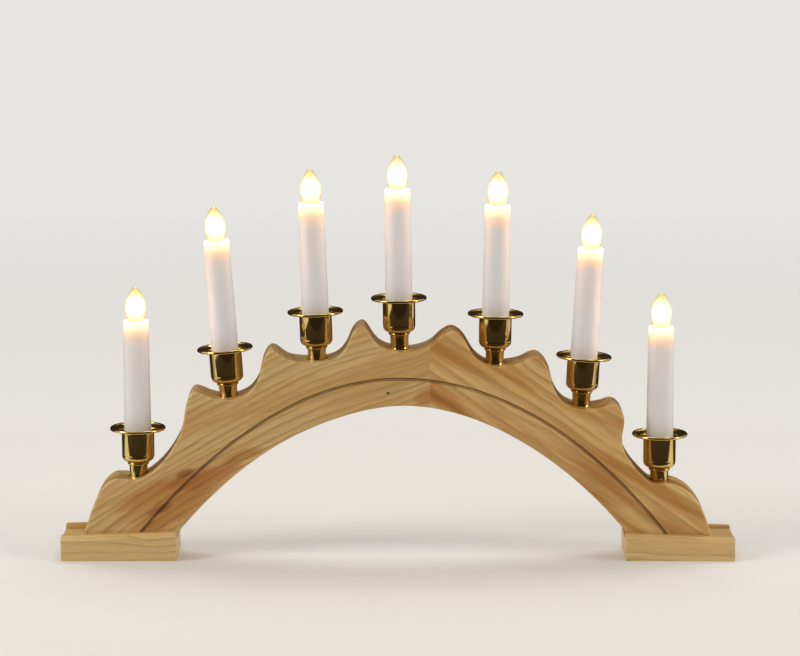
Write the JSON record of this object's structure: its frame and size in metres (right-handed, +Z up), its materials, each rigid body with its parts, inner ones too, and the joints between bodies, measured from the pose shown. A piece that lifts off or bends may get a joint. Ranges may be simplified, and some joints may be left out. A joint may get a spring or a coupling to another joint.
{
  "type": "electric candle arch",
  "caption": "Pine arch on two feet with brass cups, drip pans and white electric candles with small screw-in flame lamps; each lamp unscrews.",
  "frame": {"origin": "centre of the footprint, on the plane of the table", "axes": "+X to the right along the arch seen from the front, -Y to the front, +Z up"},
  "size_m": [0.42, 0.042, 0.2522],
  "materials": {
    "pine_left": "clear satin lacquer",
    "pine_right": "clear satin lacquer",
    "pine_foot_left": "clear satin lacquer",
    "pine_foot_right": "clear satin lacquer",
    "keeper_wood": "raw sawn",
    "polished_brass": "polished and lacquered",
    "plain_brass": "as turned",
    "candle_plastic": "smooth, slightly translucent",
    "lamp_glass": "clear, warm tinted",
    "holder_plastic": "moulded",
    "spring_steel": "plain wire",
    "zinc_screw": "zinc plated",
    "lead_insulation": "soft plastic sleeve"
  },
  "bodies": {
    "root": {"arch_left": "pine_left", "arch_right": "pine_right", "foot_left": "pine_foot_left", "foot_right": "pine_foot_right", "foot_screws": "zinc_screw", "cup_nipples": "plain_brass", "nipple_nuts": "plain_brass", "lamp_sockets": "holder_plastic", "contact_springs": "spring_steel", "wiring_harness": "lead_insulation", "lead_keepers": "keeper_wood", "candle_cup_1": "polished_brass", "drip_pan_1": "polished_brass", "candle_tube_1": "candle_plastic", "socket_shell_1": "plain_brass", "candle_cup_2": "polished_brass", "drip_pan_2": "polished_brass", "candle_tube_2": "candle_plastic", "socket_shell_2": "plain_brass", "candle_cup_3": "polished_brass", "drip_pan_3": "polished_brass", "candle_tube_3": "candle_plastic", "socket_shell_3": "plain_brass", "candle_cup_4": "polished_brass", "drip_pan_4": "polished_brass", "candle_tube_4": "candle_plastic", "socket_shell_4": "plain_brass", "candle_cup_5": "polished_brass", "drip_pan_5": "polished_brass", "candle_tube_5": "candle_plastic", "socket_shell_5": "plain_brass", "candle_cup_6": "polished_brass", "drip_pan_6": "polished_brass", "candle_tube_6": "candle_plastic", "socket_shell_6": "plain_brass", "candle_cup_7": "polished_brass", "drip_pan_7": "polished_brass", "candle_tube_7": "candle_plastic", "socket_shell_7": "plain_brass"},
    "plunger_1": {"contact_plunger_1": "plain_brass"},
    "bulb_1": {"bulb_glass_1": "lamp_glass", "bulb_cap_1": "plain_brass"},
    "plunger_2": {"contact_plunger_2": "plain_brass"},
    "bulb_2": {"bulb_glass_2": "lamp_glass", "bulb_cap_2": "plain_brass"},
    "plunger_3": {"contact_plunger_3": "plain_brass"},
    "bulb_3": {"bulb_glass_3": "lamp_glass", "bulb_cap_3": "plain_brass"},
    "plunger_4": {"contact_plunger_4": "plain_brass"},
    "bulb_4": {"bulb_glass_4": "lamp_glass", "bulb_cap_4": "plain_brass"},
    "plunger_5": {"contact_plunger_5": "plain_brass"},
    "bulb_5": {"bulb_glass_5": "lamp_glass", "bulb_cap_5": "plain_brass"},
    "plunger_6": {"contact_plunger_6": "plain_brass"},
    "bulb_6": {"bulb_glass_6": "lamp_glass", "bulb_cap_6": "plain_brass"},
    "plunger_7": {"contact_plunger_7": "plain_brass"},
    "bulb_7": {"bulb_glass_7": "lamp_glass", "bulb_cap_7": "plain_brass"}
  },
  "joints": [
    {"name": "bulb_lift_1", "type": "slide", "parent": "root", "child": "plunger_1", "axis": [-0.0052, 0, 1], "range_m": [0, 0.00181]},
    {"name": "bulb_turn_1", "type": "hinge", "parent": "plunger_1", "child": "bulb_1", "pos_m": [-0.16278, 0, 0.139], "axis": [-0.0052, 0, 1], "range_deg": [0, 360]},
    {"name": "bulb_lift_2", "type": "slide", "parent": "root", "child": "plunger_2", "axis": [-0.0698, 0, 0.9976], "range_m": [0, 0.00181]},
    {"name": "bulb_turn_2", "type": "hinge", "parent": "plunger_2", "child": "bulb_2", "pos_m": [-0.11168, 0, 0.18938], "axis": [-0.0698, 0, 0.9976], "range_deg": [0, 360]},
    {"name": "bulb_lift_3", "type": "slide", "parent": "root", "child": "plunger_3", "axis": [-0.0349, 0, 0.9994], "range_m": [0, 0.00181]},
    {"name": "bulb_turn_3", "type": "hinge", "parent": "plunger_3", "child": "bulb_3", "pos_m": [-0.05334, 0, 0.21265], "axis": [-0.0349, 0, 0.9994], "range_deg": [0, 360]},
    {"name": "bulb_lift_4", "type": "slide", "parent": "root", "child": "plunger_4", "axis": [-0.014, 0, 0.9999], "range_m": [0, 0.00181]},
    {"name": "bulb_turn_4", "type": "hinge", "parent": "plunger_4", "child": "bulb_4", "pos_m": [-0.00025, 0, 0.2212], "axis": [-0.014, 0, 0.9999], "range_deg": [0, 360]},
    {"name": "bulb_lift_5", "type": "slide", "parent": "root", "child": "plunger_5", "axis": [0.014, 0, 0.9999], "range_m": [0, 0.00181]},
    {"name": "bulb_turn_5", "type": "hinge", "parent": "plunger_5", "child": "bulb_5", "pos_m": [0.06146, 0, 0.2113], "axis": [0.014, 0, 0.9999], "range_deg": [0, 360]},
    {"name": "bulb_lift_6", "type": "slide", "parent": "root", "child": "plunger_6", "axis": [0.0523, 0, 0.9986], "range_m": [0, 0.00181]},
    {"name": "bulb_turn_6", "type": "hinge", "parent": "plunger_6", "child": "bulb_6", "pos_m": [0.11881, 0, 0.18447], "axis": [0.0523, 0, 0.9986], "range_deg": [0, 360]},
    {"name": "bulb_lift_7", "type": "slide", "parent": "root", "child": "plunger_7", "axis": [0, 0, 1], "range_m": [0, 0.00181]},
    {"name": "bulb_turn_7", "type": "hinge", "parent": "plunger_7", "child": "bulb_7", "pos_m": [0.16361, 0, 0.13519], "axis": [0, 0, 1], "range_deg": [0, 360]}
  ],
  "couplings": [
    {"joint": "bulb_lift_1", "follows": "bulb_turn_1", "m_per_rad": 0.00028871},
    {"joint": "bulb_lift_2", "follows": "bulb_turn_2", "m_per_rad": 0.00028871},
    {"joint": "bulb_lift_3", "follows": "bulb_turn_3", "m_per_rad": 0.00028871},
    {"joint": "bulb_lift_4", "follows": "bulb_turn_4", "m_per_rad": 0.00028871},
    {"joint": "bulb_lift_5", "follows": "bulb_turn_5", "m_per_rad": 0.00028871},
    {"joint": "bulb_lift_6", "follows": "bulb_turn_6", "m_per_rad": 0.00028871},
    {"joint": "bulb_lift_7", "follows": "bulb_turn_7", "m_per_rad": 0.00028871}
  ]
}
